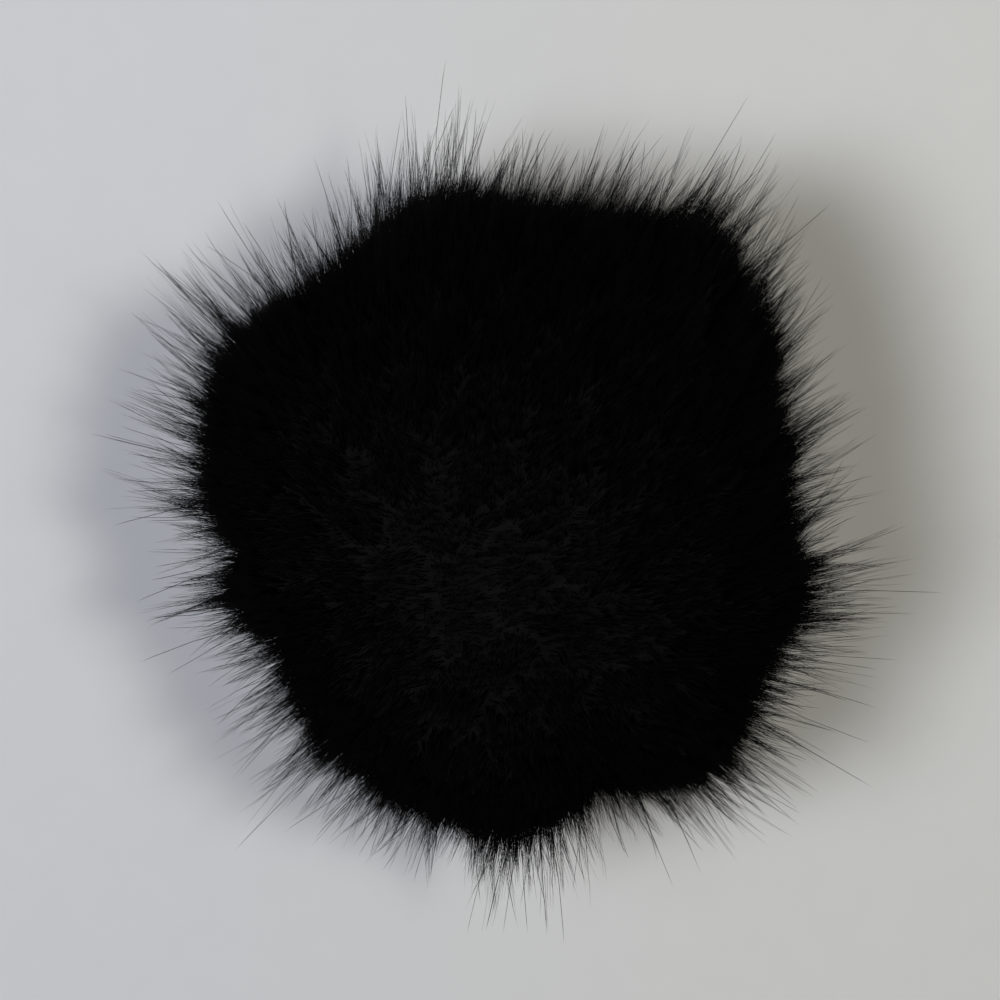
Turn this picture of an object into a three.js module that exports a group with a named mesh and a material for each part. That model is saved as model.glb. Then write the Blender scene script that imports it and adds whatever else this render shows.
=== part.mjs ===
// Fur pompom: a ball of long black pile that rests on its gathered, flattened underside.
// Millimetres, +Z up. The origin is the centre of the flat underside, on the table.
import * as THREE from "three";
import { mergeVertices } from "three/addons/utils/BufferGeometryUtils.js";

// Driving dimensions of the ball
const BODY_RADIUS = 31; // mean radius out to which the pile looks dense
const PARTING_DEPTH = 6; // how far the partings between tufts sink below the dense radius
const UNDERSIDE_RADIUS = 9; // flat underside, where the backing is gathered and sewn
const CROWN_REACH = 3.2; // how far tufts stand out of the dense radius on the crown
const LUMP_HEIGHT = 0.8; // unevenness of the dense surface
const LUMP_WIDTH = 11; // distance over which that unevenness rises and falls

// Tufts: wisps of hair that stand on a net of partings, and lean together into locks
const TUFT_SPLITS = 14; // splits of each edge of the icosahedron whose net carries the tufts
const TUFT_SCATTER = 0.24; // shift of a tuft within its cell, as a share of the cell's width
const REACH_SPREAD = 1.3; // most that a tuft is longer or shorter than its neighbours
const LOCK_COUNT = 230; // locks on the whole ball
const LOCK_PULL = 0.4; // share of the way that tips close up towards the middle of their lock
const NAP_HEADING = 66; // degrees from +X towards +Y: the way the pile was combed
const NAP_LEAN = 0.24; // sideways lean of a tip that way for each millimetre of its height
const TWIST_LEAN = 0.14; // the same, round the ball: one way left and right, the other near and far
const SEED = 3;

// Plan view of the ball: heading in degrees from +X towards +Y, how far the dense surface
// swells out of (or parts below) the mean radius there, and how far the tufts reach beyond it.
const PLAN = [
  { heading: 0, swell: -2.2, reach: 2.4 },
  { heading: 22, swell: -1.3, reach: 2.4 },
  { heading: 36, swell: 1.7, reach: 3 },
  { heading: 53, swell: 4.7, reach: 4 },
  { heading: 72, swell: 1.3, reach: 3 },
  { heading: 86, swell: 0.6, reach: 2.4 },
  { heading: 106, swell: 2.1, reach: 3.6 },
  { heading: 127, swell: -0.2, reach: 2.6 },
  { heading: 150, swell: 2.3, reach: 5 },
  { heading: 172, swell: 0.7, reach: 4 },
  { heading: 189, swell: -1.8, reach: 3.2 },
  { heading: 197, swell: -0.7, reach: 3.4 },
  { heading: 211, swell: -3.3, reach: 3 },
  { heading: 232, swell: -0.1, reach: 4.2 },
  { heading: 252, swell: 1.2, reach: 2.2 },
  { heading: 270, swell: 2.4, reach: 3.2 },
  { heading: 288, swell: -0.4, reach: 2.8 },
  { heading: 308, swell: 3.0, reach: 3.2 },
  { heading: 326, swell: -0.2, reach: 3.6 },
  { heading: 342, swell: 0.5, reach: 4.6 },
];

const FULL_TURN = 360;
const GOLDEN_ANGLE = Math.PI * (3 - Math.sqrt(5));
const CENTRE_HEIGHT = Math.sqrt((BODY_RADIUS - PARTING_DEPTH) ** 2 - UNDERSIDE_RADIUS ** 2);
const CENTRE = new THREE.Vector3(0, 0, CENTRE_HEIGHT);
const NAP = new THREE.Vector3(1, 0, 0).applyAxisAngle(
  new THREE.Vector3(0, 0, 1),
  THREE.MathUtils.degToRad(NAP_HEADING),
);

// A repeatable random number from -1 to 1
function either() {
  return 2 * THREE.MathUtils.seededRandom() - 1;
}

// The plan's swell and reach at a heading, eased from one entry to the next
function planAt(heading) {
  const after = PLAN.findIndex((entry) => entry.heading > heading);
  const b = PLAN[after < 0 ? 0 : after];
  const a = PLAN.at(after < 0 ? -1 : after - 1);
  const span = THREE.MathUtils.euclideanModulo(b.heading - a.heading, FULL_TURN);
  const along = THREE.MathUtils.euclideanModulo(heading - a.heading, FULL_TURN);
  const t = THREE.MathUtils.smoothstep(along / span, 0, 1);
  return {
    swell: THREE.MathUtils.lerp(a.swell, b.swell, t),
    reach: THREE.MathUtils.lerp(a.reach, b.reach, t),
  };
}

// A low swell and dip of the dense surface, from -1 to 1
function lumpAt(direction) {
  const turns = (Math.PI * BODY_RADIUS) / LUMP_WIDTH;
  return Math.sin(turns * direction.x) * Math.cos(turns * direction.y + turns * direction.z);
}

// Radius of the dense surface, and the tufts' reach beyond it, in a direction from the centre
function bodyAt(direction) {
  const heading = THREE.MathUtils.radToDeg(Math.atan2(direction.y, direction.x));
  const plan = planAt(THREE.MathUtils.euclideanModulo(heading, FULL_TURN));
  const flank = 1 - direction.z ** 2; // 1 on the ball's waist, 0 at its crown
  return {
    radius: BODY_RADIUS + plan.swell * flank + LUMP_HEIGHT * lumpAt(direction),
    reach: THREE.MathUtils.lerp(CROWN_REACH, plan.reach, flank),
  };
}

// Directions spread evenly over a sphere, one for each lock
function lockDirections() {
  return Array.from({ length: LOCK_COUNT }, (_, i) => {
    const z = 1 - (2 * i + 1) / LOCK_COUNT;
    const across = Math.sqrt(1 - z * z);
    return new THREE.Vector3(
      across * Math.cos(i * GOLDEN_ANGLE),
      across * Math.sin(i * GOLDEN_ANGLE),
      z,
    );
  });
}

// A point on the ray from the centre, stopped where the ray meets the table
function onRay(direction, radius) {
  const toTable = direction.z < 0 ? CENTRE_HEIGHT / -direction.z : Infinity;
  const point = CENTRE.clone().addScaledVector(direction, Math.min(radius, toTable));
  if (radius >= toTable) point.z = 0;
  return point;
}

// The net of an icosahedron: one direction for each tuft, and its triangles
function tuftNet() {
  const net = new THREE.IcosahedronGeometry(1, TUFT_SPLITS - 1);
  net.deleteAttribute("normal");
  net.deleteAttribute("uv");
  const merged = mergeVertices(net);
  const places = merged.attributes.position;
  const shift = TUFT_SCATTER * Math.sqrt((4 * Math.PI) / places.count);
  const directions = [];
  for (let i = 0; i < places.count; i++) {
    const scatter = new THREE.Vector3(either(), either(), either()).multiplyScalar(shift);
    directions.push(new THREE.Vector3().fromBufferAttribute(places, i).add(scatter).normalize());
  }
  const corners = Array.from(merged.index.array);
  const triangles = [];
  for (let i = 0; i < corners.length; i += 3) triangles.push(corners.slice(i, i + 3));
  return { directions, triangles };
}

// How far the pile leans for each millimetre of its height: with the nap, and round the ball
function leanAt(direction) {
  const round = new THREE.Vector3(direction.y, direction.x, 0);
  round.addScaledVector(direction, -round.dot(direction));
  return round.multiplyScalar(TWIST_LEAN).addScaledVector(NAP, NAP_LEAN);
}

// The tip of one tuft: pulled towards its lock, and laid over by the comb
function tuftTip(direction, locks) {
  const { radius, reach } = bodyAt(direction);
  const lock = locks.reduce((a, b) => (b.dot(direction) > a.dot(direction) ? b : a));
  const standing = reach + REACH_SPREAD * either();
  const height = PARTING_DEPTH + standing;
  const clear = THREE.MathUtils.smoothstep(direction.z, -CENTRE_HEIGHT / BODY_RADIUS, 0);
  const leaning = direction.clone().lerp(lock, LOCK_PULL * clear);
  leaning.addScaledVector(leanAt(direction), (clear * height) / BODY_RADIUS);
  return onRay(leaning.normalize(), radius + standing);
}

// One closed skin of tufts: each is a pyramid on the partings between it and its neighbours
function furGeometry() {
  THREE.MathUtils.seededRandom(SEED);
  const { directions, triangles } = tuftNet();
  const locks = lockDirections();
  const tips = directions.map((direction) => tuftTip(direction, locks));
  const partings = triangles.map(([a, b, c]) => {
    const middle = new THREE.Vector3().add(directions[a]).add(directions[b]).add(directions[c]);
    middle.normalize();
    return onRay(middle, bodyAt(middle).radius - PARTING_DEPTH);
  });

  const edgeOwner = new Map();
  triangles.forEach((corners, t) => {
    corners.forEach((from, k) => edgeOwner.set(`${from}>${corners[(k + 1) % 3]}`, t));
  });
  const faces = [];
  triangles.forEach((corners, t) => {
    corners.forEach((tip, k) => {
      const acrossEdge = edgeOwner.get(`${corners[(k + 1) % 3]}>${tip}`);
      faces.push(tip, tips.length + acrossEdge, tips.length + t);
    });
  });

  const geometry = new THREE.BufferGeometry().setFromPoints([...tips, ...partings]);
  geometry.setIndex(faces);
  geometry.computeVertexNormals();
  return geometry;
}

const furBall = new THREE.Mesh(
  furGeometry(),
  new THREE.MeshStandardMaterial({ color: 0x060607, roughness: 0.85, metalness: 0 }),
);
furBall.name = "fur_ball";

const pompom = new THREE.Group();
pompom.name = "pompom";
pompom.add(furBall);

export default pompom;
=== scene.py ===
"""Black fur pompom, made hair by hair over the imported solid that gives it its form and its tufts."""

import math

import bmesh
import bpy
from bpy.props import FloatProperty, FloatVectorProperty, IntProperty, PointerProperty
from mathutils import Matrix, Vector


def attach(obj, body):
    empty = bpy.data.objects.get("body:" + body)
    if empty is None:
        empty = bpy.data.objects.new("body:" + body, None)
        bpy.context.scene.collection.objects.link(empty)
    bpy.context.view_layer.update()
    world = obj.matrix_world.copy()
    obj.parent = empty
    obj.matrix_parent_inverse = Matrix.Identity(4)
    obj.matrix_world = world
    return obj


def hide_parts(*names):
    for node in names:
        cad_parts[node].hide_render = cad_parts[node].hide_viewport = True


bl_info = {
    "name": "Fur Pompom",
    "version": (1, 0, 0),
    "blender": (4, 5, 0),
    "location": "3D View > Sidebar > Pompom",
    "description": "Builds a black fur pompom hair by hair, with its stage",
    "category": "Object",
}

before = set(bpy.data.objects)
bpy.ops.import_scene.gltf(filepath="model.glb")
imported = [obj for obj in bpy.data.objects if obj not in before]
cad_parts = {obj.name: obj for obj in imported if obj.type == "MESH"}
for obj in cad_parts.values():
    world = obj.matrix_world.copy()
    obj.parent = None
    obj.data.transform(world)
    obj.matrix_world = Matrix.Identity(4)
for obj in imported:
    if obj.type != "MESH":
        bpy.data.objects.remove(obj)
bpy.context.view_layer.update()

MM = 0.001
BODY = "root"
FUR_NODE = "fur_ball"

# Middle of the ball, above the centre of its flat underside
CENTRE = Vector((0, 0, 23.3 * MM))

# Names of the strands' own attributes, which are removed once the strands are bent
ROOT = "strand_root"
BEND = "strand_bend"
END = "strand_end"
RADIUS = "strand_radius"
TONE = "strand_tone"
ALONG = "strand_along"
AROUND = "strand_around"
OWN_ATTRIBUTES = "strand_*"
TUFT_TIP = "tuft_tip"
TUFT_CLOSE = "tuft_close"
HAIR_MAP = "OFBake"

# The six sides of the ball, each of which carries a piece of the pile: its name, the way it
# faces and its share of the full density. The underside is pressed flat and needs few hairs.
SIDES = (
    ("pile_crown", Vector((0, 0, 1)), 1.0),
    ("pile_right", Vector((1, 0, 0)), 1.0),
    ("pile_left", Vector((-1, 0, 0)), 1.0),
    ("pile_far", Vector((0, 1, 0)), 1.0),
    ("pile_near", Vector((0, -1, 0)), 1.0),
    ("pile_underside", Vector((0, 0, -1)), 0.3),
)

# Locks that stand out of the rim, and partings: the heading from +X towards +Y and the half width
# in degrees, and at the middle the height of the close pile and the length of the hairs, both as
# multiples of what they are elsewhere.
LOCKS = (
    (14, 5, 1.9, 1.3),
    (40, 5, 2.0, 1.0),
    (57, 6, 2.4, 1.0),
    (150, 9, 1.5, 1.25),
    (181, 5, 2.0, 1.1),
    (195, 5, 2.2, 1.0),
    (220, 6, 1.5, 1.0),
    (230, 5, 1.2, 1.3),
    (270, 6, 2.3, 1.0),
    (309, 5, 1.7, 1.0),
    (329, 5, 1.4, 1.3),
    (340, 6, 1.6, 1.3),
)
PARTINGS = (
    (190, 4, 0.3, 1.0),
    (241, 5, 0.6, 0.8),
    (261, 6, 0.8, 0.6),
    (288, 5, 0.5, 1.0),
    (352, 6, 0.6, 0.6),
)
# Height of the locks above the waist, and how far above and below it the partings run, in degrees
LOCK_HEIGHT = 6
PARTING_TOP = 55

# Distance from the middle of the floor over which its painted light changes: lighter away from the
# viewer and warmer to the right
PAINTED_LIGHT_FADE = 60 * MM


class FurSettings(bpy.types.PropertyGroup):
    """Numbers and sizes of the hairs and of the wisps that they lie in."""

    under_density: FloatProperty(
        name="Underfur",
        description="Hairs of the close pile on each square millimetre of the backing",
        default=7.0,
        min=0.1,
    )
    guard_density: FloatProperty(
        name="Guard Hairs",
        description="Long hairs on each square millimetre of the backing",
        default=4.3,
        min=0.1,
    )
    wisp_density: FloatProperty(
        name="Wisps",
        description="Wisps of hairs on each square millimetre of the backing",
        default=0.9,
        min=0.01,
    )
    under_radius: FloatProperty(
        name="Underfur Radius",
        description="Half the thickness of a hair of the close pile at its root",
        default=0.06 * MM,
        unit="LENGTH",
        subtype="DISTANCE",
    )
    guard_radius: FloatProperty(
        name="Guard Hair Radius",
        description="Half the thickness of a long hair at its root",
        default=0.017 * MM,
        unit="LENGTH",
        subtype="DISTANCE",
    )
    close_height: FloatProperty(
        name="Close Pile",
        description="Height above the backing up to which the pile can't be seen through",
        default=3.2 * MM,
        unit="LENGTH",
        subtype="DISTANCE",
    )
    guard_fall: FloatProperty(
        name="Guard Fall",
        description="Height above the close pile in which the guard hairs thin out to a third",
        default=6.0 * MM,
        unit="LENGTH",
        subtype="DISTANCE",
    )
    stray_share: FloatProperty(
        name="Stray Hairs",
        description="Share of the guard hairs that stand past the tips of their tufts",
        default=0.012,
        subtype="FACTOR",
    )
    over_reach: FloatProperty(
        name="Over Reach",
        description="Length of the longest hairs, as a multiple of the solid tufts' own height",
        default=1.56,
    )
    lock_pull: FloatProperty(
        name="Lock Pull",
        description="How far the tufts close up on the middle of a lock, or draw apart at a parting",
        default=0.7,
        subtype="FACTOR",
    )
    tuft_pull: FloatProperty(
        name="Tuft Pull",
        description="How far the wisps close up on the middle of their tuft",
        default=0.9,
        subtype="FACTOR",
    )
    wisp_pull: FloatProperty(
        name="Wisp Pull",
        description="How far the hairs close up on the middle of their wisp",
        default=1.0,
        subtype="FACTOR",
    )
    wisp_lean: FloatProperty(
        name="Wisp Lean",
        description="How far a wisp may lean to one side, as a share of its length",
        default=0.13,
        subtype="FACTOR",
    )
    scatter: FloatProperty(
        name="Scatter",
        description="How far a hair's end may lie from where its wisp would put it",
        default=0.24 * MM,
        unit="LENGTH",
        subtype="DISTANCE",
    )
    sway: FloatProperty(
        name="Sway",
        description="How far a hair may bow to one side",
        default=0.5 * MM,
        unit="LENGTH",
        subtype="DISTANCE",
    )
    pressed_length: FloatProperty(
        name="Pressed Length",
        description="Length of the hairs that lie flat under the ball",
        default=8 * MM,
        unit="LENGTH",
        subtype="DISTANCE",
    )
    backing_swell: FloatProperty(
        name="Backing Swell",
        description="How far the backing stands out from the feet of the solid's tufts",
        default=3.4 * MM,
        unit="LENGTH",
        subtype="DISTANCE",
    )
    backing_lift: FloatProperty(
        name="Backing Lift",
        description="Height of the backing above the table",
        default=0.6 * MM,
        unit="LENGTH",
        subtype="DISTANCE",
    )
    seed: IntProperty(
        name="Seed",
        description="Start of the random numbers",
        default=4,
    )


class FurColours(bpy.types.PropertyGroup):
    """Colours of the fur."""

    root_colour: FloatVectorProperty(
        name="Root",
        description="Colour of the hairs at the backing",
        default=(0.0006, 0.0006, 0.0007),
        subtype="COLOR",
        size=3,
    )
    tip_colour: FloatVectorProperty(
        name="Tip",
        description="Colour of the hairs at their tips",
        default=(0.0016, 0.0015, 0.0016),
        subtype="COLOR",
        size=3,
    )
    rust_colour: FloatVectorProperty(
        name="Warm Hairs",
        description="Tint of the hairs that the dye took less",
        default=(0.0032, 0.0026, 0.0024),
        subtype="COLOR",
        size=3,
    )


class StageSettings(bpy.types.PropertyGroup):
    """The floor, the light and the camera."""

    # Both floor colours carry painted light: the card is tinted cool on the left and warm on the
    # right, as the two lamps' light would tint it.
    floor_with_painted_cool_light: FloatVectorProperty(
        name="Floor",
        description="Colour of the floor on the left",
        default=(0.57, 0.573, 0.592),
        subtype="COLOR",
        size=3,
    )
    floor_with_painted_warm_light: FloatVectorProperty(
        name="Warm Floor",
        description="Colour of the floor on the right",
        default=(0.57, 0.567, 0.548),
        subtype="COLOR",
        size=3,
    )
    sky_strength: FloatProperty(
        name="Sky",
        description="Share of the light that comes evenly from all round",
        default=0.004,
    )
    cool_power: FloatProperty(
        name="Left Lamp",
        description="Power of the cool lamp on the left",
        default=6.9,
        unit="POWER",
    )
    warm_power: FloatProperty(
        name="Right Lamp",
        description="Power of the warm lamp on the right",
        default=4.15,
        unit="POWER",
    )
    lamp_distance: FloatProperty(
        name="Lamp Distance",
        description="Distance of both lamps from the ball",
        default=1.0,
        unit="LENGTH",
        subtype="DISTANCE",
    )
    cool_size: FloatProperty(
        name="Left Lamp Size",
        description="Diameter of the cool lamp",
        default=0.35,
        unit="LENGTH",
        subtype="DISTANCE",
    )
    warm_size: FloatProperty(
        name="Right Lamp Size",
        description="Diameter of the warm lamp",
        default=0.16,
        unit="LENGTH",
        subtype="DISTANCE",
    )
    frame_width: FloatProperty(
        name="Frame Width",
        description="Width of what the camera sees, at the ball's middle",
        default=100 * MM,
        unit="LENGTH",
        subtype="DISTANCE",
    )
    camera_height: FloatProperty(
        name="Camera Height",
        description="Height of the camera above the ball's middle",
        default=0.6,
        unit="LENGTH",
        subtype="DISTANCE",
    )


class Wire:
    """A socket of a node tree. Its operators add Math nodes, or Vector Math nodes for vectors."""

    def __init__(self, nodes, socket):
        self.nodes = nodes
        self.socket = socket

    def __add__(self, other):
        return self.nodes.math("ADD", self, other)

    def __radd__(self, other):
        return self.nodes.math("ADD", other, self)

    def __sub__(self, other):
        return self.nodes.math("SUBTRACT", self, other)

    def __rsub__(self, other):
        return self.nodes.math("SUBTRACT", other, self)

    def __mul__(self, other):
        return self.nodes.math("MULTIPLY", self, other)

    def __rmul__(self, other):
        return self.nodes.math("MULTIPLY", other, self)

    def __truediv__(self, other):
        return self.nodes.math("DIVIDE", self, other)

    def __rtruediv__(self, other):
        return self.nodes.math("DIVIDE", other, self)

    def __pow__(self, other):
        return self.nodes.math("POWER", self, other)

    def __rpow__(self, other):
        return self.nodes.math("POWER", other, self)

    def __lt__(self, other):
        return self.nodes.math("LESS_THAN", self, other)

    def log(self):
        return self.nodes.math("LOGARITHM", self, math.e)

    def at_least(self, other):
        return self.nodes.math("MAXIMUM", self, other)

    def at_most(self, other):
        return self.nodes.math("MINIMUM", self, other)

    def size(self):
        return self.nodes.math("ABSOLUTE", self)

    def towards(self, other, share):
        return self + (other - self) * share

    def dot(self, other):
        return self.nodes.vector_math("DOT_PRODUCT", self, other, out="Value")

    def length(self):
        return self.nodes.vector_math("LENGTH", self, out="Value")

    def unit(self):
        return self.nodes.vector_math("NORMALIZE", self)

    def cross(self, other):
        return self.nodes.vector_math("CROSS_PRODUCT", self, other)

    def part(self, axis):
        return self.nodes.add("ShaderNodeSeparateXYZ", {}, {"Vector": self}, axis)

    def ease(self, start, end):
        return self.nodes.add(
            "ShaderNodeMapRange",
            {"interpolation_type": "SMOOTHSTEP"},
            {"Value": self, "From Min": start, "From Max": end},
        )


def is_vector(value):
    if isinstance(value, Wire):
        return value.socket.type == "VECTOR"
    return isinstance(value, (Vector, tuple))


class Nodes:
    """A node tree that is built by calls."""

    def __init__(self, tree):
        self.tree = tree

    def add(self, kind, settings=None, inputs=None, out=None):
        """Adds a node of any kind, sets it, feeds its sockets and returns one of its outputs."""
        node = self.tree.nodes.new(kind)
        for name, value in (settings or {}).items():
            setattr(node, name, value)
        for name, value in (inputs or {}).items():
            self.feed(self.find(node.inputs, name), value)
        return Wire(self, self.find(node.outputs, out)) if node.outputs else node

    def find(self, sockets, name):
        shown = [s for s in sockets if s.enabled and not s.is_unavailable]
        if name is None:
            return shown[0]
        if isinstance(name, int):
            return shown[name]
        return next(s for s in shown if s.name == name)

    def feed(self, socket, value):
        if isinstance(value, Wire):
            self.tree.links.new(value.socket, socket)
        else:
            socket.default_value = value

    def math(self, operation, first, second=None):
        values = [first] if second is None else [first, second]
        vectors = [v for v in values if is_vector(v)]
        if len(vectors) == 1 and len(values) == 2:
            number = next(v for v in values if not is_vector(v))
            if operation == "MULTIPLY":
                return self.scaled(vectors[0], number)
            raise TypeError(f"{operation} of a vector and a number")
        if vectors:
            return self.vector_math(operation, *values)
        inputs = dict(enumerate(values))
        return self.add("ShaderNodeMath", {"operation": operation}, inputs)

    def vector_math(self, operation, *vectors, out=None):
        inputs = dict(enumerate(vectors))
        return self.add("ShaderNodeVectorMath", {"operation": operation}, inputs, out)

    def scaled(self, vector, number):
        settings = {"operation": "SCALE"}
        return self.add("ShaderNodeVectorMath", settings, {0: vector, "Scale": number})

    def vector(self, x, y, z):
        return self.add("ShaderNodeCombineXYZ", {}, {"X": x, "Y": y, "Z": z})

    def attribute(self, name, data_type="FLOAT_VECTOR"):
        settings = {"data_type": data_type}
        return self.add("GeometryNodeInputNamedAttribute", settings, {"Name": name})

    def store(self, geometry, name, value, data_type="FLOAT_VECTOR", domain="POINT"):
        settings = {"data_type": data_type, "domain": domain}
        inputs = {"Geometry": geometry, "Name": name, "Value": value}
        return self.add("GeometryNodeStoreNamedAttribute", settings, inputs)

    def position(self):
        return self.add("GeometryNodeInputPosition")


class FurTree(Nodes):
    """The Geometry Nodes tree that grows the hairs on one side of the backing."""

    INPUTS = (
        ("Tufts", "NodeSocketObject"),
        ("Side", "NodeSocketVector"),
        ("Under Density", "NodeSocketFloat"),
        ("Guard Density", "NodeSocketFloat"),
        ("Wisp Density", "NodeSocketFloat"),
        ("Under Radius", "NodeSocketFloat"),
        ("Guard Radius", "NodeSocketFloat"),
        ("Close Height", "NodeSocketFloat"),
        ("Guard Fall", "NodeSocketFloat"),
        ("Stray Share", "NodeSocketFloat"),
        ("Tuft Pull", "NodeSocketFloat"),
        ("Wisp Pull", "NodeSocketFloat"),
        ("Wisp Lean", "NodeSocketFloat"),
        ("Scatter", "NodeSocketFloat"),
        ("Sway", "NodeSocketFloat"),
        ("Pressed Length", "NodeSocketFloat"),
        ("Seed", "NodeSocketInt"),
        ("Material", "NodeSocketMaterial"),
    )
    # Lengths that a hair is bent in, and how fully it joins its wisp, for each coat
    UNDER_STEPS = 1
    UNDER_GATHER = 0.35
    GUARD_STEPS = 3
    GUARD_GATHER = 1.0
    # Least and most vigour of a tuft, and how much of it the height of the close pile follows
    VIGOUR = (0.35, 1.65)
    CLOSE_VIGOUR = 0.3
    # Most of a tuft's rise that its close pile may take up
    CLOSE_MOST = 0.9
    # Least rise of a tuft, and the rise over the close pile at which guard hairs have their usual fall
    LEAST_RISE = 3 * MM
    USUAL_RISE = 7 * MM
    # Least and most share of its wisp that a hair joins, and of the usual thickness that it has
    JOINING = (0.7, 1.0)
    THICKNESS = (0.75, 1.1)
    # Height of a wisp in the close pile, and where its hairs end on it, as shares
    UNDER_WISPS = (0.9, 1.1)
    UNDER_ENDS = (0.86, 1.02)
    # Where guard hairs end, as a share of their wisp's height, and where strays do, of their tuft's
    GUARD_ENDS = (0.4, 1.05)
    STRAY_ENDS = (0.75, 1.1)
    # How much less a stray joins its wisp, and how much looser and thicker it is than other hairs
    STRAY_FREEDOM = 0.7
    STRAY_LOOSENESS = 4.0
    STRAY_THICKNESS = 1.1
    # How far along a hair its bend lies, and the share of its thickness that it loses before its tip
    BEND_AT = 0.45
    TAPER = 0.4
    # How far down a hair's root has to face for it to start to lie flat, and to lie fully flat
    PRESSED = (0.6, 0.85)
    # A direction that hardly any hair lies along, from which its two cross directions are found
    SKEW = (0.36, 0.48, 0.8)
    # Bare edge of the hairs' map, and the width of one hair on it
    MAP_EDGE = 0.01
    MAP_WIDTH = 0.003

    def __init__(self):
        super().__init__(bpy.data.node_groups.new("fur_pile", "GeometryNodeTree"))
        face = self.tree.interface
        face.new_socket("Backing", in_out="INPUT", socket_type="NodeSocketGeometry")
        self.named = {
            name: face.new_socket(name, in_out="INPUT", socket_type=kind)
            for name, kind in self.INPUTS
        }
        face.new_socket("Pile", in_out="OUTPUT", socket_type="NodeSocketGeometry")
        self.given = self.tree.nodes.new("NodeGroupInput")
        self.uses = 0

        under = self.rooted("Under", self.under_share, 0.0, self.UNDER_GATHER)
        under = self.hairs(under, self.UNDER_STEPS)
        stray = self.random(0.0, 1.0) < self.input("Stray Share")
        guard = self.rooted("Guard", self.guard_share, stray, self.GUARD_GATHER)
        guard = self.hairs(guard, self.GUARD_STEPS)
        pile = self.bent(self.joined(under, guard))
        end = self.tree.nodes.new("NodeGroupOutput")
        self.feed(end.inputs["Pile"], pile)

    def input(self, name):
        return Wire(self, self.given.outputs[name])

    def random(self, low, high, each=None):
        """A number for each point, or for each of the things that each numbers."""
        kind = "FLOAT_VECTOR" if is_vector(low) else "FLOAT"
        self.uses += 1
        inputs = {"Min": low, "Max": high, "Seed": self.input("Seed") + float(100 * self.uses)}
        if each is not None:
            inputs["ID"] = each
        return self.add("FunctionNodeRandomValue", {"data_type": kind}, inputs)

    def astray(self, each=None):
        """A vector whose parts lie from -1 to 1."""
        return self.random((-1, -1, -1), (1, 1, 1), each)

    def spread(self, density, selection=True):
        """Points strewn on the backing."""
        return self.add(
            "GeometryNodeDistributePointsOnFaces",
            {"distribute_method": "RANDOM"},
            {
                "Mesh": self.input("Backing"),
                "Selection": selection,
                "Density": density,
                "Seed": self.input("Seed"),
            },
            "Points",
        )

    def side_mask(self):
        """1 on the faces that look the way of this side more than of any other."""
        outward = (self.position() - CENTRE).unit()
        x, y, z = (outward.part(axis).size() for axis in "XYZ")
        most = x.at_least(y).at_least(z)
        return most - 1e-5 < outward.dot(self.input("Side"))

    def nearest(self, geometry, place):
        """The number of the point of geometry that is nearest to place."""
        inputs = {"Geometry": geometry, "Sample Position": place}
        return self.add("GeometryNodeSampleNearest", {}, inputs)

    def sampled(self, geometry, value, number):
        settings = {"data_type": "FLOAT_VECTOR" if is_vector(value) else "FLOAT"}
        inputs = {"Geometry": geometry, "Value": value, "Index": number}
        return self.add("GeometryNodeSampleIndex", settings, inputs)

    def rooted(self, coat, share_of, stray, gather):
        """Points on the backing, each with its hair's root, bend, end, thickness and tone. A hair
        ends at a share of the way up its tuft, closed up on the middle line of its wisp."""
        points = self.spread(self.input(coat + " Density"), self.side_mask())
        root = self.position()
        outward = (root - CENTRE).unit()
        wisps = self.spread(self.input("Wisp Density"))
        wisp = self.nearest(wisps, root)
        start = self.sampled(wisps, self.position(), wisp)
        inputs = {"Object": self.input("Tufts")}
        tufts = self.add("GeometryNodeObjectInfo", {}, inputs, "Geometry")
        tuft = self.nearest(tufts, start)
        foot = self.sampled(tufts, self.position(), tuft)
        reach = self.sampled(tufts, self.attribute(TUFT_TIP), tuft) - foot

        rise = reach.dot(outward).at_least(self.LEAST_RISE)
        vigour = self.random(*self.VIGOUR, tuft)
        lock = self.sampled(tufts, self.attribute(TUFT_CLOSE, "FLOAT"), tuft)
        fuller = 1 - self.CLOSE_VIGOUR + self.CLOSE_VIGOUR * vigour
        close = (self.input("Close Height") * lock * fuller / rise).at_most(self.CLOSE_MOST)
        share = share_of(rise, close, vigour, wisp, stray)
        reach = reach + self.astray(wisp) * (self.input("Wisp Lean") * reach.length())
        middle = start.towards(foot, (self.input("Tuft Pull") * lock * share).at_most(1.0))
        joining = gather * self.random(*self.JOINING) * (1 - self.STRAY_FREEDOM * stray)
        pull = self.input("Wisp Pull") * joining
        loose = self.input("Scatter") * (1 + self.STRAY_LOOSENESS * stray)
        end = root.towards(middle, pull) + reach * share + self.astray() * loose
        end = self.pressed(end, root, outward)

        bend = root.towards(end, self.BEND_AT).towards(start.towards(end, self.BEND_AT), pull)
        bend = bend + self.astray() * (self.input("Sway") * (1 + stray))
        thick = self.random(*self.THICKNESS) * (1 + self.STRAY_THICKNESS * stray)
        radius = self.input(coat + " Radius") * thick

        points = self.store(points, ROOT, root)
        points = self.store(points, BEND, bend)
        points = self.store(points, END, end)
        points = self.store(points, RADIUS, radius, "FLOAT")
        return self.store(points, TONE, self.random(0.0, 1.0), "FLOAT")

    def under_share(self, rise, close, vigour, wisp, stray):
        """The close pile ends at nearly one height."""
        return close * self.random(*self.UNDER_WISPS, wisp) * self.random(*self.UNDER_ENDS)

    def guard_share(self, rise, close, vigour, wisp, stray):
        """The taller a wisp, the rarer it is. Its hairs end along its upper part, and strays end
        near or past the tip of the tuft."""
        over = rise * (1 - close)
        fall = self.input("Guard Fall") * vigour * (0.5 + over / (2 * self.USUAL_RISE))
        most = 1 - math.e ** (0 - over / fall)
        high = 0 - fall * (1 - most * self.random(0.0, 1.0, wisp)).log()
        ended = close + high * self.random(*self.GUARD_ENDS) / rise
        return ended.towards(self.random(*self.STRAY_ENDS), stray)

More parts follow.
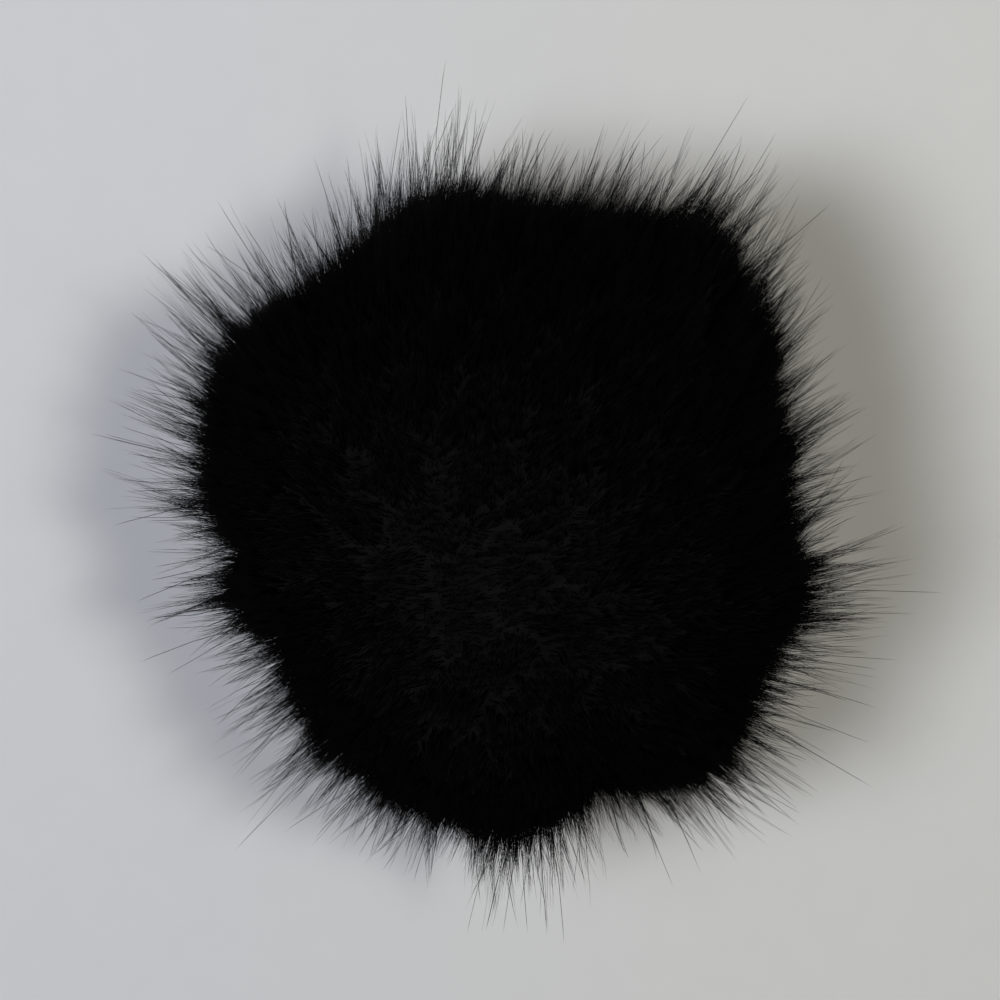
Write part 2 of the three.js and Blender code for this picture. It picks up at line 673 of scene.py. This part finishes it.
    def pressed(self, end, root, outward):
        """Under the ball the hairs lie flat, outwards along the table."""
        flat = (outward + self.astray() * 0.5) * Vector((1, 1, 0))
        lying = root + flat.unit() * self.input("Pressed Length")
        return end.towards(lying, (0 - outward.part("Z")).ease(*self.PRESSED))

    def hairs(self, points, steps):
        """A slim cone for each point, with its height and its way round kept as attributes."""
        cone = self.add(
            "GeometryNodeMeshCone",
            {"fill_type": "NGON"},
            {
                "Vertices": 3,
                "Side Segments": steps,
                "Radius Top": 0.0,
                "Radius Bottom": 1.0,
                "Depth": 1.0,
            },
            "Mesh",
        )
        across = self.position() * Vector((1, 1, 0))
        cone = self.store(cone, ALONG, self.position().part("Z"), "FLOAT")
        cone = self.store(cone, AROUND, across.unit())
        inputs = {"Points": points, "Instance": cone}
        instances = self.add("GeometryNodeInstanceOnPoints", {}, inputs)
        return self.add("GeometryNodeRealizeInstances", {}, {"Geometry": instances})

    def joined(self, *pieces):
        together = self.tree.nodes.new("GeometryNodeJoinGeometry")
        for piece in pieces:
            self.feed(together.inputs[0], piece)
        return Wire(self, together.outputs[0])

    def bent(self, hairs):
        """Each cone is laid along its own curve, tapers to its tip and stays above the table."""
        along = 1 - (1 - self.attribute(ALONG, "FLOAT")) ** 2.0
        root, bend, end = (self.attribute(name) for name in (ROOT, BEND, END))
        middle = root.towards(bend, along).towards(bend.towards(end, along), along)
        chord = (end - root).unit()
        across = chord.cross(self.SKEW).unit()
        third = chord.cross(across)
        around = self.attribute(AROUND)
        radius = self.attribute(RADIUS, "FLOAT")
        clear = middle.part("Z").at_least(radius)
        middle = self.vector(middle.part("X"), middle.part("Y"), clear)
        thick = radius * (1 - self.TAPER * along * along)
        ring = (across * around.part("X") + third * around.part("Y")) * thick
        inputs = {"Geometry": hairs, "Position": middle + ring}
        hairs = self.add("GeometryNodeSetPosition", {}, inputs)

        span = 1 - 2 * self.MAP_EDGE
        tone = self.MAP_EDGE + span * self.attribute(TONE, "FLOAT")
        beside = self.MAP_WIDTH * around.part("X")
        place = self.vector(tone + beside, self.MAP_EDGE + span * along, 0.0)
        hairs = self.store(hairs, HAIR_MAP, place, "FLOAT2", "CORNER")
        for pattern in (OWN_ATTRIBUTES, "id"):
            inputs = {"Geometry": hairs, "Name": pattern}
            hairs = self.add("GeometryNodeRemoveAttribute", {"pattern_mode": "WILDCARD"}, inputs)
        hairs = self.add("GeometryNodeSetShadeSmooth", {}, {"Geometry": hairs})
        inputs = {"Geometry": hairs, "Material": self.input("Material")}
        return self.add("GeometryNodeSetMaterial", {}, inputs)


class Shader(Nodes):
    """A material that is built by calls, with a Principled surface."""

    def __init__(self, name):
        self.material = bpy.data.materials.new(name)
        self.material.use_nodes = True
        super().__init__(self.material.node_tree)
        self.surface = self.tree.nodes["Principled BSDF"]

    def mixed(self, first, second, share):
        settings = {"data_type": "RGBA"}
        inputs = {"Factor": share, "A": first, "B": second}
        return self.add("ShaderNodeMix", settings, inputs, "Result")

    def set(self, **values):
        for name, value in values.items():
            self.feed(self.surface.inputs[name.replace("_", " ")], value)


def opaque(colour):
    return (*colour, 1.0)


def fur_material(colours):
    """Black hair: darkest at the root, with a few hairs that the dye took less."""
    fur = Shader("black_fur")
    place = fur.add("ShaderNodeUVMap", {"uv_map": HAIR_MAP})
    tone, along = place.part("X"), place.part("Y")
    dyed = fur.mixed(opaque(colours.root_colour), opaque(colours.tip_colour), along.ease(0.1, 1.0))
    warm = tone.ease(0.8, 1.0) * along
    fur.set(
        Base_Color=fur.mixed(dyed, opaque(colours.rust_colour), warm),
        Roughness=0.62 - 0.16 * along * tone,
        Specular_IOR_Level=0.02,
    )
    return fur.material


def backing_material(colours):
    """The knitted black backing that shows only where the pile parts."""
    cloth = Shader("fur_backing")
    place = cloth.add("ShaderNodeTexCoord", {}, {}, "Object")
    loops = cloth.add("ShaderNodeTexVoronoi", {}, {"Vector": place, "Scale": 900.0}, "Distance")
    bump = cloth.add("ShaderNodeBump", {}, {"Strength": 0.5, "Distance": 0.2 * MM, "Height": loops})
    cloth.set(
        Base_Color=cloth.mixed(
            opaque(colours.root_colour), opaque(colours.tip_colour), loops.ease(0.2, 0.8)
        ),
        Roughness=0.9,
        Specular_IOR_Level=0.1,
        Normal=bump,
    )
    return cloth.material


def floor_material(stage):
    """Pale card, faintly mottled, with painted light: a little lighter away from the viewer, and
    tinted cool on the left and warm on the right.
    """
    card = Shader("floor_card")
    place = card.add("ShaderNodeTexCoord", {}, {}, "Object")
    mottle = card.add("ShaderNodeTexNoise", {}, {"Vector": place, "Scale": 240.0, "Detail": 3.0})
    # Painted light: the card grows lighter away from the viewer; the mottle is the card's own grain.
    far = place.part("Y").ease(-PAINTED_LIGHT_FADE, PAINTED_LIGHT_FADE)
    light = 0.95 + 0.1 * far + 0.03 * (mottle - 0.5)
    # Painted light: the card's tint goes from cool on the left to warm on the right, as the lamps'
    # light would.
    right = place.part("X").ease(-PAINTED_LIGHT_FADE, PAINTED_LIGHT_FADE)
    pale = card.mixed(opaque(stage.floor_with_painted_cool_light), opaque(stage.floor_with_painted_warm_light), right)
    card.set(Base_Color=card.scaled(pale, light), Roughness=0.9, Specular_IOR_Level=0.1)
    return card.material


def link(name, data):
    made = bpy.data.objects.new(name, data)
    bpy.context.scene.collection.objects.link(made)
    return made


def ride_and_replace(piece):
    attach(piece, BODY)
    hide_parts(FUR_NODE)


def ring_of(vert):
    return [edge.other_vert(vert) for edge in vert.link_edges]


def facing(heading, height):
    """The direction at a heading and a height above the waist, in degrees."""
    level = math.cos(math.radians(height))
    turn = math.radians(heading)
    return Vector((level * math.cos(turn), level * math.sin(turn), math.sin(math.radians(height))))


def eased(value):
    value = min(max(value, 0.0), 1.0)
    return value * value * (3 - 2 * value)


def styled(outward, foot, end, pull):
    """Gathers a tuft's tip into the locks near it and combs it away from the partings. Returns the
    tip, and the height of the tuft's close pile as a multiple of its usual height."""
    heading = math.degrees(math.atan2(outward.y, outward.x))
    height = math.degrees(math.asin(outward.z))
    close = 1.0
    for middle, width, rise, reach in LOCKS:
        axis = facing(middle, LOCK_HEIGHT)
        share = eased(1 - math.degrees(outward.angle(axis)) / width)
        end = end.lerp(CENTRE + axis * (end - CENTRE).length, pull * share)
        end = end.lerp(foot, (1 - reach) * share)
        close += (rise - 1) * share
    for middle, width, rise, reach in PARTINGS:
        aside = abs((heading - middle + 180) % 360 - 180)
        share = eased(1 - aside / width) * eased(1 - abs(height) / PARTING_TOP)
        apart = CENTRE + facing(middle, height) * (end - CENTRE).length
        end = end.lerp(apart, -pull * share)
        end = end.lerp(foot, (1 - reach) * share)
        close += (rise - 1) * share
    return end, close


def read_tufts(fur):
    """Finds the solid's tufts. Returns a mesh with a point at the foot of each, with its tip and
    the height of its close pile as attributes, and the backing: the solid without its tufts,
    swollen a little."""
    solid = bmesh.new()
    solid.from_mesh(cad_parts[FUR_NODE].data)
    bmesh.ops.remove_doubles(solid, verts=solid.verts, dist=0.001 * MM)
    far = {vert: (vert.co - CENTRE).length for vert in solid.verts}
    tips = [vert for vert in solid.verts if all(far[n] < far[vert] for n in ring_of(vert))]
    feet = [sum((n.co for n in ring_of(tip)), Vector()) / len(tip.link_edges) for tip in tips]

    roots, ends, closes = [], [], []
    for tip, foot in zip(tips, feet):
        outward = (foot - CENTRE).normalized()
        roots.append(foot + outward * fur.backing_swell)
        end = foot + (tip.co - foot) * fur.over_reach
        end, close = styled(outward, foot, end, fur.lock_pull)
        ends.extend(end)
        closes.append(close)
        tip.co = foot
    tufts = bpy.data.meshes.new("tufts")
    tufts.from_pydata(roots, [], [])
    tufts.attributes.new(TUFT_TIP, "FLOAT_VECTOR", "POINT").data.foreach_set("vector", ends)
    tufts.attributes.new(TUFT_CLOSE, "FLOAT", "POINT").data.foreach_set("value", closes)

    smooth = {"factor": 0.5, "use_axis_x": True, "use_axis_y": True, "use_axis_z": True}
    bmesh.ops.smooth_vert(solid, verts=solid.verts, **smooth)
    for vert in solid.verts:
        vert.co += (vert.co - CENTRE).normalized() * fur.backing_swell
        vert.co.z = max(vert.co.z, fur.backing_lift)
    solid.verts.index_update()
    places = [vert.co.copy() for vert in solid.verts]
    faces = [[vert.index for vert in face.verts] for face in solid.faces]
    solid.free()
    backing = bpy.data.meshes.new("fur_backing")
    backing.from_pydata(places, [], faces)
    backing.shade_smooth()
    return tufts, backing


class POMPOM_OT_backing(bpy.types.Operator):
    """Make the stuffed backing that the hairs grow from"""

    bl_idname = "pompom.backing"
    bl_label = "Backing"

    def execute(self, context):
        tufts, mesh = read_tufts(context.scene.pompom_fur)
        backing = link("fur_backing", mesh)
        mesh.materials.append(backing_material(context.scene.pompom_colours))
        link("tufts", tufts)
        ride_and_replace(backing)
        return {"FINISHED"}


class POMPOM_OT_pile(bpy.types.Operator):
    """Grow the hairs, one piece for each side of the ball"""

    bl_idname = "pompom.pile"
    bl_label = "Pile"

    def execute(self, context):
        fur = context.scene.pompom_fur
        tree = FurTree()
        tufts = bpy.data.objects["tufts"]
        values = {
            "Tufts": tufts,
            "Wisp Density": fur.wisp_density / MM**2,
            "Under Radius": fur.under_radius,
            "Guard Radius": fur.guard_radius,
            "Close Height": fur.close_height,
            "Guard Fall": fur.guard_fall,
            "Stray Share": fur.stray_share,
            "Tuft Pull": fur.tuft_pull,
            "Wisp Pull": fur.wisp_pull,
            "Wisp Lean": fur.wisp_lean,
            "Scatter": fur.scatter,
            "Sway": fur.sway,
            "Pressed Length": fur.pressed_length,
            "Seed": fur.seed,
            "Material": fur_material(context.scene.pompom_colours),
        }
        for name, way, share in SIDES:
            values["Side"] = way
            values["Under Density"] = share * fur.under_density / MM**2
            values["Guard Density"] = share * fur.guard_density / MM**2
            ride_and_replace(self.grown(name, tree, values))
        bpy.data.objects.remove(tufts)
        return {"FINISHED"}

    def grown(self, name, tree, values):
        """One side's hairs as a plain mesh."""
        pile = link(name, bpy.data.objects["fur_backing"].data.copy())
        grow = pile.modifiers.new("grow", "NODES")
        grow.node_group = tree.tree
        for socket, value in values.items():
            grow[tree.named[socket].identifier] = value
        depsgraph = bpy.context.evaluated_depsgraph_get()
        mesh = bpy.data.meshes.new_from_object(pile.evaluated_get(depsgraph))
        pile.modifiers.remove(grow)
        pile.data = mesh
        mesh.name = name
        return pile


class POMPOM_OT_stage(bpy.types.Operator):
    """Set the floor, the lamps, the sky and the camera"""

    bl_idname = "pompom.stage"
    bl_label = "Stage"

    FLOOR_HALF = 2.0
    # Heading and height of each lamp as seen from the ball, in degrees, and its tint
    COOL_PLACE = (191, 65)
    WARM_PLACE = (2, 69)
    COOL = (0.96, 0.985, 1.055)
    WARM = (1.05, 1.02, 0.925)
    # Where the middle of the picture lies, measured from the ball's middle
    AIM = Vector((-1.0 * MM, 1.2 * MM, 0))

    def execute(self, context):
        stage = context.scene.pompom_stage
        self.floor(stage)
        self.sky(context.scene, stage)
        away = stage.lamp_distance
        self.lamp("lamp_left", self.COOL_PLACE, away, stage.cool_size, stage.cool_power, self.COOL)
        self.lamp("lamp_right", self.WARM_PLACE, away, stage.warm_size, stage.warm_power, self.WARM)
        self.camera(context.scene, stage)
        context.scene.view_settings.view_transform = "Standard"
        return {"FINISHED"}

    def floor(self, stage):
        mesh = bpy.data.meshes.new("floor")
        half = self.FLOOR_HALF
        corners = [(-half, -half, 0), (half, -half, 0), (half, half, 0), (-half, half, 0)]
        mesh.from_pydata(corners, [], [(0, 1, 2, 3)])
        mesh.materials.append(floor_material(stage))
        link("floor", mesh)

    def sky(self, scene, stage):
        """Even grey light, which the camera sees as a pale backdrop."""
        scene.world = bpy.data.worlds.new("sky")
        scene.world.use_nodes = True
        sky = Nodes(scene.world.node_tree)
        sky.tree.nodes.remove(sky.tree.nodes["Background"])
        ray = sky.add("ShaderNodeLightPath", {}, {}, "Is Camera Ray")
        shiny = sky.add("ShaderNodeLightPath", {}, {}, "Is Glossy Ray")
        clear = sky.add("ShaderNodeLightPath", {}, {}, "Is Transmission Ray")
        seen = ray.at_least(shiny).at_least(clear)
        white = {"Color": opaque((1, 1, 1)), "Strength": stage.sky_strength}
        light = sky.add("ShaderNodeBackground", {}, white)
        pale = {"Color": opaque(stage.floor_with_painted_cool_light), "Strength": 1.0}
        backdrop = sky.add("ShaderNodeBackground", {}, pale)
        both = sky.add("ShaderNodeMixShader", {}, {0: seen, 1: light, 2: backdrop})
        sky.feed(sky.tree.nodes["World Output"].inputs["Surface"], both)

    def lamp(self, name, place, distance, size, power, tint):
        """A round soft lamp that looks at the ball."""
        data = bpy.data.lights.new(name, "AREA")
        data.shape = "DISK"
        data.size = size
        data.energy = power
        data.color = tint
        lamp = link(name, data)
        away = facing(*place)
        lamp.location = CENTRE + distance * away
        lamp.rotation_euler = (-away).to_track_quat("-Z", "Y").to_euler()

    def camera(self, scene, stage):
        """Straight above the ball, with +Y up in the picture."""
        data = bpy.data.cameras.new("camera")
        data.lens = data.sensor_width * stage.camera_height / stage.frame_width
        camera = link("camera", data)
        camera.location = CENTRE + self.AIM + Vector((0, 0, stage.camera_height))
        scene.camera = camera


class POMPOM_PT_panel(bpy.types.Panel):
    """Lists the steps that build the pompom"""

    bl_label = "Pompom"
    bl_idname = "POMPOM_PT_panel"
    bl_space_type = "VIEW_3D"
    bl_region_type = "UI"
    bl_category = "Pompom"

    def draw(self, context):
        for step in STEPS:
            self.layout.operator(step.bl_idname)


STEPS = (POMPOM_OT_backing, POMPOM_OT_pile, POMPOM_OT_stage)
SETTINGS = {
    "pompom_fur": FurSettings,
    "pompom_colours": FurColours,
    "pompom_stage": StageSettings,
}
CLASSES = (*SETTINGS.values(), *STEPS, POMPOM_PT_panel)


def register():
    for made in CLASSES:
        bpy.utils.register_class(made)
    for name, group in SETTINGS.items():
        setattr(bpy.types.Scene, name, PointerProperty(type=group))


def unregister():
    for name in SETTINGS:
        delattr(bpy.types.Scene, name)
    for made in reversed(CLASSES):
        bpy.utils.unregister_class(made)


def main():
    register()
    bpy.ops.pompom.backing()
    bpy.ops.pompom.pile()
    bpy.ops.pompom.stage()


if __name__ == "__main__":
    main()
